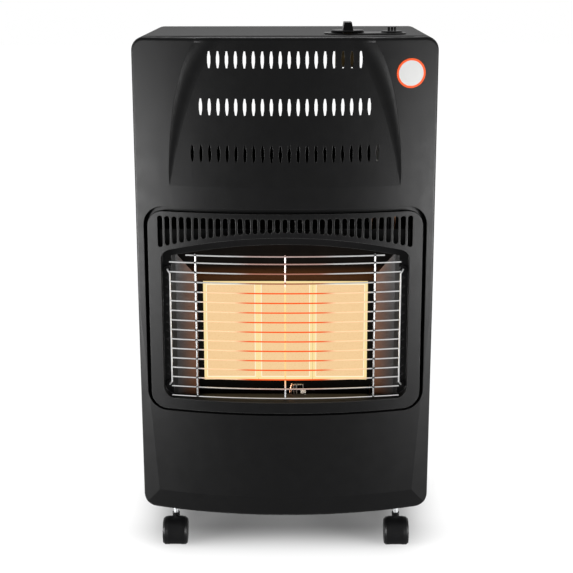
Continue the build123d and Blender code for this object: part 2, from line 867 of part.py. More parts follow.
def build_burner():
    middle = above((plaque_foot + plaque_head) / 2)
    for x, name in zip(plaque_centres(), ("left", "centre", "right")):
        with BuildPart() as plaque:
            with BuildSketch(facing(behind(plaque_setback + plaque_thickness))):
                with Locations((x, middle)):
                    Rectangle(plaque_width, plaque_height)
            extrude(amount=plaque_thickness)
            with BuildSketch(facing(behind(plaque_setback + plaque_field_depth))):
                with Locations((x, middle)):
                    Rectangle(plaque_width - 2 * plaque_rim, plaque_height - 2 * plaque_rim)
            extrude(amount=plaque_field_depth, mode=Mode.SUBTRACT)
        plaque.part.label = f"ceramic_plaque_{name}"
        export_step(plaque.part, f"parts/ceramic_plaque_{name}.step")

    outer = housing_half_width + sheet
    head = above(plaque_head + plaque_joint + sheet)
    foot = above(housing_foot)
    seat = behind(plaque_setback + plaque_thickness + fit_gap)
    back = behind(burner_back)
    with BuildPart() as burner_housing:
        with BuildSketch(facing(back)):
            with Locations((0, (head + foot) / 2)):
                Rectangle(2 * outer, head - foot)
        extrude(amount=burner_back - plaque_setback)
        with BuildSketch(facing(behind(plaque_setback + sheet))):
            with Locations((0, middle)):
                height = plaque_height + 2 * (plaque_joint + sheet + burner_flange)
                Rectangle(2 * (outer + burner_flange), height)
        extrude(amount=sheet)
        # Pocket that the plaques drop into, and the mixing space behind and under them
        with BuildSketch(facing(seat)):
            with Locations((0, middle)):
                Rectangle(2 * housing_half_width, plaque_height + 2 * plaque_joint)
        extrude(amount=plaque_thickness + 2 * sheet, mode=Mode.SUBTRACT)
        space_foot = foot + sheet
        space_head = above(plaque_head - sheet)
        with BuildSketch(facing(back - sheet)):
            for x in plaque_centres():
                with Locations((x, (space_foot + space_head) / 2)):
                    Rectangle(plaque_width - 2 * sheet, space_head - space_foot)
        extrude(amount=back - sheet - seat, mode=Mode.SUBTRACT)
        with BuildSketch(Plane.XY.offset(foot)):
            with Locations(*[(x, burner_y) for x in plaque_centres()]):
                Rectangle(2 * bell_mouth_radius, bell_mouth_radius)
        extrude(amount=2 * sheet, mode=Mode.SUBTRACT)
    burner_housing.part.label = "burner_housing"
    export_step(burner_housing.part, "parts/burner_housing.step")

    manifold_z = above(housing_foot - manifold_drop)
    reach = plaque_centres()[-1] + manifold_overhang
    with BuildPart() as manifold:
        with BuildSketch(Plane.YZ.offset(-reach)):
            with Locations((burner_y, manifold_z)):
                RegularPolygon(manifold_radius, small_sides)
        extrude(amount=2 * reach)
        with BuildSketch(Plane.XY.offset(manifold_z)):
            for hand in (-1, 1):
                with Locations((hand * (plaque_width + plaque_joint) / 2, burner_y)):
                    Rectangle(hanger_width, hanger_thickness)
        extrude(amount=manifold_drop - fit_gap)
        with BuildSketch(Plane.XY.offset(manifold_z)):
            with Locations(*[(x, burner_y) for x in plaque_centres()]):
                RegularPolygon(injector_tip_radius, wire_sides)
        extrude(amount=manifold_radius + sheet, mode=Mode.SUBTRACT)
    manifold.part.label = "injector_manifold"
    export_step(manifold.part, "parts/injector_manifold.step")

    with BuildPart() as injectors:
        for x in plaque_centres():
            with BuildSketch(Plane.XY.offset(manifold_z + manifold_radius)):
                with Locations((x, burner_y)):
                    RegularPolygon(injector_radius, wire_sides)
            extrude(amount=injector_height)
            with BuildSketch(Plane.XY.offset(manifold_z + manifold_radius + injector_height)):
                with Locations((x, burner_y)):
                    RegularPolygon(injector_tip_radius, wire_sides)
            extrude(amount=injector_tip_height)
    injectors.part.label = "injectors"
    export_step(injectors.part, "parts/injectors.step")


# ---------------------------------------------------------------------- pilot group


def build_pilot():
    base = pilot_plate_top - tray_sheet
    with BuildPart() as pilot_bracket:
        with BuildSketch(Plane.XY.offset(base)):
            with Locations(((thermocouple_x + electrode_x) / 2, pilot_y)):
                span = electrode_x - thermocouple_x + 2 * pilot_plate_margin
                Rectangle(span, 2 * pilot_plate_margin)
            with Locations((pilot_x, pilot_y), (thermocouple_x, pilot_y), (electrode_x, pilot_y)):
                hole = pilot_foot_radius + fit_gap
                RegularPolygon(hole, small_sides, major_radius=False, mode=Mode.SUBTRACT)
        extrude(amount=tray_sheet)
    pilot_bracket.part.label = "pilot_bracket"
    export_step(pilot_bracket.part, "parts/pilot_bracket.step")

    leg = pilot_leg_spacing / 2
    burner_top = pilot_plate_top + pilot_base_height
    hoop = [
        (pilot_x - leg, pilot_y, burner_top),
        (pilot_x - leg, pilot_y, above(pilot_head)),
        (pilot_x + leg, pilot_y, above(pilot_head)),
        (pilot_x + leg, pilot_y, burner_top),
    ]
    with BuildPart() as pilot_burner:
        with BuildSketch(Plane.XY.offset(base)):
            with Locations((pilot_x, pilot_y)):
                RegularPolygon(pilot_foot_radius, small_sides)
        extrude(amount=tray_sheet)
        with BuildSketch(Plane.XY.offset(pilot_plate_top)):
            with Locations((pilot_x, pilot_y)):
                RegularPolygon(pilot_base_radius, small_sides)
        extrude(amount=pilot_base_height)
        add(rod(hoop, pilot_leg_radius, bend=leg * pilot_hoop_ease))
    pilot_burner.part.label = "pilot_burner"
    export_step(pilot_burner.part, "parts/pilot_burner.step")

    points = [
        (thermocouple_x, pilot_y, base),
        (thermocouple_x, pilot_y, pilot_plate_top + pilot_base_height),
        (thermocouple_x + thermocouple_lean, pilot_y, above(pilot_head) + pilot_leg_radius),
    ]
    thermocouple = rod(points, thermocouple_radius, sides=small_sides)
    thermocouple.label = "thermocouple"
    export_step(thermocouple, "parts/thermocouple.step")

    with BuildPart() as ceramic:
        with BuildSketch(Plane.XY.offset(base)):
            with Locations((electrode_x, pilot_y)):
                RegularPolygon(pilot_foot_radius, small_sides)
        extrude(amount=tray_sheet)
        with BuildSketch(Plane.XY.offset(pilot_plate_top)):
            with Locations((electrode_x, pilot_y)):
                RegularPolygon(ceramic_radius, small_sides)
        extrude(amount=above(ceramic_head) - pilot_plate_top)
        chamfer(ceramic.edges().group_by(Axis.Z)[-1], sheet)
        with BuildSketch(Plane.XY.offset(base)):
            with Locations((electrode_x, pilot_y)):
                RegularPolygon(spark_wire_radius + weld_gap, wire_sides, major_radius=False)
        extrude(amount=beyond, mode=Mode.SUBTRACT)
    ceramic.part.label = "electrode_ceramic"
    export_step(ceramic.part, "parts/electrode_ceramic.step")

    top = above(spark_wire_head)
    points = [
        (electrode_x, pilot_y, base),
        (electrode_x, pilot_y, above(ceramic_head) + sheet),
        (electrode_x - spark_wire_radius, pilot_y, top),
        (electrode_x - spark_wire_reach, pilot_y, top),
    ]
    spark_wire = rod(points, spark_wire_radius)
    spark_wire.label = "spark_wire"
    export_step(spark_wire, "parts/spark_wire.step")


# ---------------------------------------------------------------------- wire guard


def build_wire_guard():
    """Bowed wires welded across five uprights, of which the outer two end in bent legs."""
    radius = arc_radius(guard_half_width, guard_bow)
    centre_y = behind(guard_setback - guard_bow) + radius

    def wire_y(x):
        return centre_y - sqrt(radius**2 - x**2)

    heights = [guard_first_wire + index * guard_pitch for index in range(guard_wire_count)]
    spans = [(height, guard_half_width) for height in heights]
    spans.append((heights[-1] + guard_top_gap, guard_top_half_width))
    rod_offset = (guard_wire + guard_rod) / 2 + weld_gap
    with BuildPart() as wire_guard:
        for height, side in spans:
            z = above(height)
            with BuildLine() as path:
                ThreePointArc((-side, wire_y(side), z), (0, wire_y(0), z), (side, wire_y(side), z))
            with BuildSketch(Plane(origin=path.line @ 0, z_dir=path.line % 0)):
                RegularPolygon(guard_wire / 2, 6)
            sweep(path=path.line)
        low = above(heights[0] - guard_rod_end)
        high = above(spans[-1][0] + guard_rod_end)
        for x in (-guard_inner_rod, 0, guard_inner_rod):
            with BuildSketch(Plane.XY.offset(low)):
                with Locations((x, wire_y(x) + rod_offset)):
                    RegularPolygon(guard_rod / 2, 6, rotation=30)
            extrude(amount=high - low)
        side_y = wire_y(guard_half_width) + rod_offset
        reach_y = side_y + guard_rod
        for hand in (-1, 1):
            points = [
                (hand * eyelet_x, behind(ring_setback), above(eyelet_high)),
                (hand * eyelet_x, reach_y, above(eyelet_high)),
                (hand * guard_half_width, side_y, above(eyelet_high) - 2 * guard_rod),
                (hand * guard_half_width, side_y, above(eyelet_low) + 2 * guard_rod),
                (hand * eyelet_x, reach_y, above(eyelet_low)),
                (hand * eyelet_x, behind(ring_setback), above(eyelet_low)),
            ]
            add(rod(points, guard_rod / 2))
    wire_guard.part.label = "wire_guard"
    export_step(wire_guard.part, "parts/wire_guard.step")


# ---------------------------------------------------------------------- heat shield and rear cover


def build_heat_shield():
    side = half_width - sheet - fit_gap
    front = behind(shield_setback - shield_flange)
    back = behind(shield_setback)
    points = [(-side, front), (-side, back), (side, back), (side, front)]
    with BuildPart() as heat_shield:
        foot = above(tray_wall + fit_gap)
        add(folded_sheet(Plane.XY.offset(foot), points, Side.RIGHT, above(shield_head) - foot))
    heat_shield.part.label = "heat_shield"
    export_step(heat_shield.part, "parts/heat_shield.step")


def build_rear_cover():
    front = casing_back_y + fit_gap
    back = casing_back_y + cover_bulge
    low = above(cover_foot)
    high = above(cover_head)
    points = [
        (-cover_half_width - cover_flange, front),
        (-cover_half_width, front),
        (-cover_back_half_width, back - sheet),
        (cover_back_half_width, back - sheet),
        (cover_half_width, front),
        (cover_half_width + cover_flange, front),
    ]
    with BuildPart() as rear_cover:
        add(folded_sheet(Plane.XY.offset(low), points, Side.LEFT, high - low))
        # Closed head
        with BuildSketch(Plane.XY.offset(high)):
            with BuildLine():
                Polyline(*points[1:-1], close=True)
            make_face()
        extrude(amount=-sheet)
        # Four tabs that reach into the casing's rear flange
        for height in tab_heights:
            with BuildSketch(facing(front)):
                with Locations((tab_x, above(height)), (-tab_x, above(height))):
                    Rectangle(sheet, tab_width)
            extrude(amount=tab_length)
        with BuildSketch(facing(back)):
            for height in cover_slot_rows:
                with Locations((0, above(height))):
                    with GridLocations(cover_slot_pitch, cover_slot_pitch, cover_slot_count, 1):
                        Rectangle(cover_slot_width, cover_slot_height)
        extrude(amount=2 * sheet, mode=Mode.SUBTRACT)
    rear_cover.part.label = "rear_cover"
    export_step(rear_cover.part, "parts/rear_cover.step")


# ---------------------------------------------------------------------- controls

control_y = behind(control_setback)
bezel_top = cabinet_top + bezel_thickness
valve_top = cabinet_top - sheet - fit_gap
skirt_foot = bezel_top + skirt_gap
plunger_top = skirt_foot - stop_gap
plunger_foot = plunger_top - plunger_length
neck_top = cabinet_top - weld_gap
knob_top = skirt_foot + skirt_height + grip_height
pipe_z = valve_top - valve_outlet_drop
nozzle_z = valve_top - valve_height + valve_inlet_rise


def build_controls():
    with BuildPart() as bezel:
        with BuildSketch(Plane.XY.offset(cabinet_top)):
            with Locations((bezel_x, control_y)):
                RectangleRounded(bezel_length, bezel_width, bezel_corner)
            with Locations((knob_x, control_y)):
                Circle(skirt_radius + skirt_margin, mode=Mode.SUBTRACT)
            with Locations((button_x, control_y)):
                bore = igniter_radius + fit_gap
                RegularPolygon(bore, small_sides, major_radius=False, mode=Mode.SUBTRACT)
        extrude(amount=bezel_thickness)
    bezel.part.label = "control_bezel"
    export_step(bezel.part, "parts/control_bezel.step")

    with BuildPart() as gas_valve:
        with BuildSketch(Plane.XY.offset(valve_top)):
            with Locations((knob_x, control_y)):
                Rectangle(valve_width, valve_depth)
        extrude(amount=-valve_height)
        chamfer(gas_valve.edges().filter_by(Axis.Z), 2 * sheet)
        with BuildSketch(Plane.XY.offset(valve_top)):
            with Locations((knob_x, control_y)):
                RegularPolygon(neck_radius, small_sides)
        extrude(amount=neck_top - valve_top)
        with BuildSketch(Plane.XY.offset(neck_top)):
            with Locations((knob_x, control_y)):
                Circle(plunger_radius + bore_clearance)
        depth = neck_top - plunger_foot + push_travel + stop_gap
        extrude(amount=-depth, mode=Mode.SUBTRACT)
    gas_valve.part.label = "gas_valve"
    export_step(gas_valve.part, "parts/gas_valve.step")

    with BuildPart() as plunger:
        with BuildSketch(Plane.XY.offset(plunger_foot)):
            with Locations((knob_x, control_y)):
                Circle(plunger_radius)
        extrude(amount=plunger_length)
        with BuildSketch(Plane.XY.offset(plunger_foot + plunger_floor)):
            with Locations((knob_x, control_y)):
                RegularPolygon(spindle_radius + bore_clearance, small_sides, major_radius=False)
        extrude(amount=plunger_length, mode=Mode.SUBTRACT)
    plunger.part.label = "valve_plunger"
    export_step(plunger.part, "parts/valve_plunger.step")

    with BuildPart() as spindle:
        spindle_foot = plunger_foot + plunger_floor + stop_gap
        with BuildSketch(Plane.XY.offset(spindle_foot)):
            with Locations((knob_x, control_y)):
                RegularPolygon(spindle_radius, small_sides)
        extrude(amount=skirt_foot + spindle_grip - spindle_foot)
    spindle.part.label = "valve_spindle"
    export_step(spindle.part, "parts/valve_spindle.step")

    with BuildPart() as knob:
        with BuildSketch(Plane.XY.offset(skirt_foot)):
            with Locations((knob_x, control_y)):
                Circle(skirt_radius)
        extrude(amount=skirt_height)
        chamfer(knob.edges().group_by(Axis.Z)[-1], sheet)
        with BuildSketch(Plane.XY.offset(skirt_foot + skirt_height)):
            with Locations((knob_x, control_y)):
                Rectangle(grip_width, grip_length)
        with BuildSketch(Plane.XY.offset(knob_top)):
            with Locations((knob_x, control_y)):
                Rectangle(grip_top_width, grip_length - grip_width + grip_top_width)
        loft()
        with BuildSketch(Plane.XY.offset(skirt_foot)):
            with Locations((knob_x, control_y)):
                RegularPolygon(spindle_radius + bore_clearance, small_sides, major_radius=False)
        extrude(amount=spindle_grip + stop_gap, mode=Mode.SUBTRACT)
    knob.part.label = "control_knob"
    export_step(knob.part, "parts/control_knob.step")

    with BuildPart() as igniter:
        with BuildSketch(Plane.XY.offset(bezel_top)):
            with Locations((button_x, control_y)):
                Circle(collar_radius)
        extrude(amount=collar_height)
        chamfer(igniter.edges().group_by(Axis.Z)[-1], sheet)
        with BuildSketch(Plane.XY.offset(bezel_top)):
            with Locations((button_x, control_y)):
                RegularPolygon(igniter_radius, small_sides)
        extrude(amount=-igniter_length)
        with BuildSketch(Plane.XY.offset(bezel_top + collar_height)):
            with Locations((button_x, control_y)):
                Circle(button_radius + bore_clearance)
        depth = button_length - (button_height - collar_height) + button_travel + stop_gap
        extrude(amount=-depth, mode=Mode.SUBTRACT)
    igniter.part.label = "igniter_body"
    export_step(igniter.part, "parts/igniter_body.step")

    with BuildPart() as button:
        with BuildSketch(Plane.XY.offset(bezel_top + button_height - button_length)):
            with Locations((button_x, control_y)):
                Circle(button_radius)
        extrude(amount=button_length)
        with BuildSketch(Plane.XY.offset(bezel_top + button_height)):
            with Locations((button_x, control_y)):
                with GridLocations(button_slot_pitch, button_slot_pitch, 2, 1):
                    Rectangle(button_slot, 3 * button_radius)
        extrude(amount=-button_slot_depth, mode=Mode.SUBTRACT)
    button.part.label = "igniter_button"
    export_step(button.part, "parts/igniter_button.step")

    nut_y = control_y + valve_depth / 2 + weld_gap
    pin_y = nut_y + nozzle_nut_length
    with BuildPart() as hose_nozzle:
        with BuildSketch(facing(pin_y)):
            with Locations((knob_x, nozzle_z)):
                RegularPolygon(nozzle_nut_radius, wire_sides)
        extrude(amount=nozzle_nut_length)
        with BuildSketch(facing(pin_y + nozzle_length)):
            with Locations((knob_x, nozzle_z)):
                Circle(nozzle_radius)
        extrude(amount=nozzle_length)
        chamfer(hose_nozzle.edges().group_by(Axis.Y)[-1], nozzle_lead)
    hose_nozzle.part.label = "hose_nozzle"
    export_step(hose_nozzle.part, "parts/hose_nozzle.step")


# ---------------------------------------------------------------------- pipes and leads


def build_pipes():
    valve_side = knob_x + valve_width / 2 + weld_gap
    manifold_end = plaque_centres()[-1] + manifold_overhang + weld_gap
    manifold_z = above(housing_foot - manifold_drop)
    points = [
        (valve_side, burner_y, pipe_z),
        (gas_pipe_x, burner_y, pipe_z),
        (gas_pipe_x, burner_y, manifold_z),
        (manifold_end, burner_y, manifold_z),
    ]
    gas_pipe = rod(points, gas_pipe_radius, bend=gas_pipe_bend, sides=small_sides)
    gas_pipe.label = "gas_pipe"
    export_step(gas_pipe, "parts/gas_pipe.step")

    base = pilot_plate_top - tray_sheet - weld_gap
    run_z = above(shelf_height - sheet) - pilot_pipe_radius - fit_gap
    run_y = pilot_y + 2 * thin_bend + sheet
    back_y = behind(burner_back)
    points = [
        (valve_side, back_y, pipe_z - lead_drop),
        (pilot_pipe_x, back_y, pipe_z - lead_drop),
        (pilot_pipe_x, back_y, run_z),
        (pilot_pipe_x, run_y, run_z),
        (pilot_x, run_y, run_z),
        (pilot_x, pilot_y, run_z),
    ]
    pipe = rod(points, pilot_pipe_radius, bend=thin_bend)
    with BuildPart() as pilot_pipe:
        add(pipe)
        with BuildSketch(Plane.XY.offset(run_z)):
            with Locations((pilot_x, pilot_y)):
                RegularPolygon(pilot_pipe_radius, 6)
        extrude(amount=base - run_z)
    pilot_pipe.part.label = "pilot_pipe"
    export_step(pilot_pipe.part, "parts/pilot_pipe.step")

    run_z = run_z - lead_drop / 2
    run_y = pilot_y - 2 * thin_bend - sheet
    front_y = control_y - valve_depth / 2 + thin_bend
    points = [
        (thermocouple_x, pilot_y, base),
        (thermocouple_x, pilot_y, run_z),
        (thermocouple_x, run_y, run_z),
        (thermocouple_lead_x, run_y, run_z),
        (thermocouple_lead_x, front_y, run_z),
        (thermocouple_lead_x, front_y, pipe_z + lead_drop),
        (valve_side, front_y, pipe_z + lead_drop),
    ]
    thermocouple_lead = rod(points, thermocouple_lead_radius, bend=thin_bend)
    thermocouple_lead.label = "thermocouple_lead"
    export_step(thermocouple_lead, "parts/thermocouple_lead.step")

    run_z = run_z - 2 * lead_drop
    points = [
        (button_x, control_y, bezel_top - igniter_length - weld_gap),
        (button_x, control_y, run_z),
        (button_x, pilot_y, run_z),
        (electrode_x, pilot_y, run_z),
        (electrode_x, pilot_y, base),
    ]
    spark_lead = rod(points, spark_lead_radius, bend=thin_bend)
    spark_lead.label = "spark_lead"
    export_step(spark_lead, "parts/spark_lead.step")


# ---------------------------------------------------------------------- castors

hood_radius = wheel_radius + running_gap + hood_thickness
hood_half = castor_width / 2
hood_profile = [
    (-hood_half, hood_radius - hood_edge_drop),
    (hood_edge - hood_half, hood_radius - hood_crown_drop),
    (hood_crown - hood_half, hood_radius),
    (hood_half - hood_crown, hood_radius),
    (hood_half - hood_edge, hood_radius - hood_crown_drop),
    (hood_half, hood_radius - hood_edge_drop),
    (hood_half, hood_radius - hood_edge_drop - hood_rim),
    (hood_half - hood_edge, wheel_radius + running_gap),
    (hood_edge - hood_half, wheel_radius + running_gap),
    (-hood_half, hood_radius - hood_edge_drop - hood_rim),
]
web_half_width = castor_width / 2 - wheel_width - wheel_side_gap
stem_top = tray_top + socket_reach - stop_gap


def build_castor(name, x, y):
    axle_y = y - castor_trail
    inner = wheel_radius + running_gap
    axle_plane = Plane(origin=(x, axle_y, wheel_radius), x_dir=(0, 1, 0), z_dir=(1, 0, 0))
    profile_plane = Plane(origin=(x, axle_y, wheel_radius), x_dir=(1, 0, 0), z_dir=(0, -1, 0))
    with BuildPart() as hood:
        # Crowned mudguard over both wheels, low in front and cut back behind
        with BuildSketch(profile_plane):
            with BuildLine():
                Polyline(*hood_profile, close=True)
            make_face()
        revolve(axis=Axis((x, axle_y, wheel_radius), (1, 0, 0)))
        with BuildSketch(axle_plane.offset(-castor_width)):
            with Locations((0, -beyond / 2 - hood_skirt)):
                Rectangle(beyond, beyond)
            with Locations((beyond / 2, -beyond / 2 - hood_rear_skirt)):
                Rectangle(beyond, beyond)
        extrude(amount=2 * castor_width, mode=Mode.SUBTRACT)
        # Web between the wheels, with the axle hub
        with BuildSketch(axle_plane.offset(-web_half_width)):
            Circle(inner + hood_thickness / 2)
            with Locations((0, -beyond / 2)):
                Rectangle(beyond, beyond, mode=Mode.SUBTRACT)
            RegularPolygon(hub_radius, small_sides)
        extrude(amount=2 * web_half_width)
        # Collar on the swivel axis
        with BuildSketch(Plane.XY.offset(wheel_radius)):
            with Locations((x, y)):
                RegularPolygon(stem_collar_radius, small_sides)
        extrude(amount=collar_top - wheel_radius)
        with BuildSketch(Plane.XY.offset(wheel_radius + hood_radius / 2)):
            with Locations((x, y)):
                RegularPolygon(stem_radius + weld_gap, small_sides)
        extrude(amount=hood_radius, mode=Mode.SUBTRACT)
        with BuildSketch(axle_plane.offset(-castor_width / 2)):
            RegularPolygon(axle_radius + bore_clearance, small_sides, major_radius=False)
        extrude(amount=castor_width, mode=Mode.SUBTRACT)
    hood.part.label = f"castor_hood_{name}"
    export_step(hood.part, f"parts/castor_hood_{name}.step")

    with BuildPart() as stem:
        with BuildSketch(Plane.XY.offset(wheel_radius + hood_radius / 2)):
            with Locations((x, y)):
                RegularPolygon(stem_radius, small_sides)
        extrude(amount=stem_top - wheel_radius - hood_radius / 2)
    stem.part.label = f"castor_stem_{name}"
    export_step(stem.part, f"parts/castor_stem_{name}.step")

    with BuildPart() as wheels:
        for hand in (-1, 1):
            with BuildSketch(axle_plane.offset(hand * (castor_width / 2 - wheel_width / 2))):
                Circle(wheel_radius)
            extrude(amount=wheel_width / 2, both=True)
        rims = wheels.edges().filter_by(GeomType.CIRCLE)
        chamfer([rim for rim in rims if abs(rim.center().X - x) > castor_width / 2 - sheet], wheel_edge)
        with BuildSketch(axle_plane):
            RegularPolygon(axle_radius, small_sides)
        extrude(amount=castor_width / 2 - wheel_width, both=True)
    wheels.part.label = f"castor_wheels_{name}"
    export_step(wheels.part, f"parts/castor_wheels_{name}.step")


def build_sockets():
    low = above(0) - socket_drop
    centres = [(x, y) for _, x, y in castor_places()]
    with BuildPart() as castor_sockets:
        with BuildSketch(Plane.XY.offset(low)):
            with Locations(*centres):
                RegularPolygon(socket_radius, wire_sides)
        extrude(amount=tray_top + socket_reach + socket_wall - low)
        with BuildSketch(Plane.XY.offset(tray_top)):
            with Locations(*centres):
                RegularPolygon(socket_radius + socket_wall, wire_sides)
        extrude(amount=socket_wall)
        with BuildSketch(Plane.XY.offset(low)):
            with Locations(*centres):
                RegularPolygon(stem_radius + bore_clearance, small_sides, major_radius=False)
        extrude(amount=tray_top + socket_reach - low, mode=Mode.SUBTRACT)
    castor_sockets.part.label = "castor_sockets"
    export_step(castor_sockets.part, "parts/castor_sockets.step")


# ---------------------------------------------------------------------- build

build_front_panel()
build_round_badge()
build_casing()
build_base_tray()
build_burner_surround()
build_fire_box()
build_burner()
build_pilot()
build_wire_guard()
build_heat_shield()
build_rear_cover()
build_controls()
build_pipes()
build_sockets()
for castor_name, castor_centre_x, castor_centre_y in castor_places():
    build_castor(castor_name, castor_centre_x, castor_centre_y)
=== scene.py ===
"""Looks of a portable gas cabinet heater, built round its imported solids.

Metres, +Z up, the front faces -Y.
"""

import math

import bpy
from mathutils import Matrix, Vector


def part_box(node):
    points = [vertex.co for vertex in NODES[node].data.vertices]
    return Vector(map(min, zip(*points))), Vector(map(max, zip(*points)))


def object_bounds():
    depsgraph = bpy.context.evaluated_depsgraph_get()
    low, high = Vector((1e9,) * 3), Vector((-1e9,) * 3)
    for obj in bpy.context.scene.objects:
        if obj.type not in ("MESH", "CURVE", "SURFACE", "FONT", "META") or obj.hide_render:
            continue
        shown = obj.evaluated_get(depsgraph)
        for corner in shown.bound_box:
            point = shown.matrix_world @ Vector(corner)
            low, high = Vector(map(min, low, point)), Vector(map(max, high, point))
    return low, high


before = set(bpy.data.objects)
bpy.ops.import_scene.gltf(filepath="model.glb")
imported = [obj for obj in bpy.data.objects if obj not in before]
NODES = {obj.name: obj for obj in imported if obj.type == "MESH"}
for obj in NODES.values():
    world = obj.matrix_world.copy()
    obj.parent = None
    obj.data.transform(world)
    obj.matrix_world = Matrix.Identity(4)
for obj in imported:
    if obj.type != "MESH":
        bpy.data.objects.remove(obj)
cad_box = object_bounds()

scene = bpy.context.scene
scene.view_settings.view_transform = "Standard"

# ---------------------------------------------------------------- camera

CAMERA_AT = Vector((0.0139, -1.9709, 0.8521))
CAMERA_YAW = -0.0067  # radians from +Y towards +X
CAMERA_PITCH = 0.2432  # radians below level
CAMERA_ROLL = -0.0014
CAMERA_LENS = 82.2  # mm
SENSOR_WIDTH = 36.0  # mm
CLIP_NEAR, CLIP_FAR = 0.05, 60.0


def make_camera():
    """The camera, at the photograph's viewing angle."""
    data = bpy.data.cameras.new("camera")
    data.lens = CAMERA_LENS
    data.sensor_width = SENSOR_WIDTH
    data.clip_start, data.clip_end = CLIP_NEAR, CLIP_FAR
    camera = bpy.data.objects.new("camera", data)
    scene.collection.objects.link(camera)
    forward = Vector((
        math.sin(CAMERA_YAW) * math.cos(CAMERA_PITCH),
        math.cos(CAMERA_YAW) * math.cos(CAMERA_PITCH),
        -math.sin(CAMERA_PITCH),
    ))
    right = Vector((math.cos(CAMERA_YAW), -math.sin(CAMERA_YAW), 0.0))
    up = right.cross(forward)
    turn = Matrix((right, up, -forward)).transposed() @ Matrix.Rotation(CAMERA_ROLL, 3, "Z")
    camera.matrix_world = Matrix.Translation(CAMERA_AT) @ turn.to_4x4()
    scene.camera = camera


# ---------------------------------------------------------------- node graphs

EDGE_RADIUS = 0.0009
BEVEL_SAMPLES = 6
EDGE_TO_FLAT = (0.80, 0.97)  # cosine between the rounded and the true normal
NOISE_SPAN = (0.3, 0.7)  # nearly all values of a noise lie in it
BLOTCH_SPAN = (0.35, 0.7)


class Tree:
    """A node tree, with short calls for the nodes used here."""

    def __init__(self, node_tree):
        self.nodes = node_tree.nodes
        self.links = node_tree.links

    def plug(self, value, socket):
        """Links an output to the input socket, or sets a constant on it."""
        if isinstance(value, bpy.types.NodeSocket):
            self.links.new(value, socket)
        else:
            socket.default_value = value

    def add(self, kind, inputs=None, **settings):
        """A new node with its properties set and its inputs, by name or number, plugged."""
        node = self.nodes.new(kind)
        for key, value in settings.items():
            setattr(node, key, value)
        for key, value in (inputs or {}).items():
            self.plug(value, node.inputs[key])
        return node

    def maths(self, operation, *values):
        node = self.add("ShaderNodeMath", dict(enumerate(values)), operation=operation)
        return node.outputs["Value"]

    def product(self, value, *others):
        for other in others:
            value = self.maths("MULTIPLY", value, other)
        return value

    def apart(self, value, other):
        return self.maths("ABSOLUTE", self.maths("SUBTRACT", value, other))

    def within(self, value, low, high):
        """How far the value lies inside the nearer of its two limits."""
        return self.maths(
            "MINIMUM", self.maths("SUBTRACT", value, low), self.maths("SUBTRACT", high, value)
        )

    def length(self, one, other):
        """Length of the two legs' hypotenuse."""
        squares = [self.maths("POWER", leg, 2.0) for leg in (one, other)]
        return self.maths("SQRT", self.maths("ADD", *squares))

    def shown(self):
        """1 for rays that show the scene to the camera, to gloss or through glass, else 0."""
        path = self.add("ShaderNodeLightPath").outputs
        seen = self.maths("MAXIMUM", path["Is Camera Ray"], path["Is Glossy Ray"])
        return self.maths("MAXIMUM", seen, path["Is Transmission Ray"])


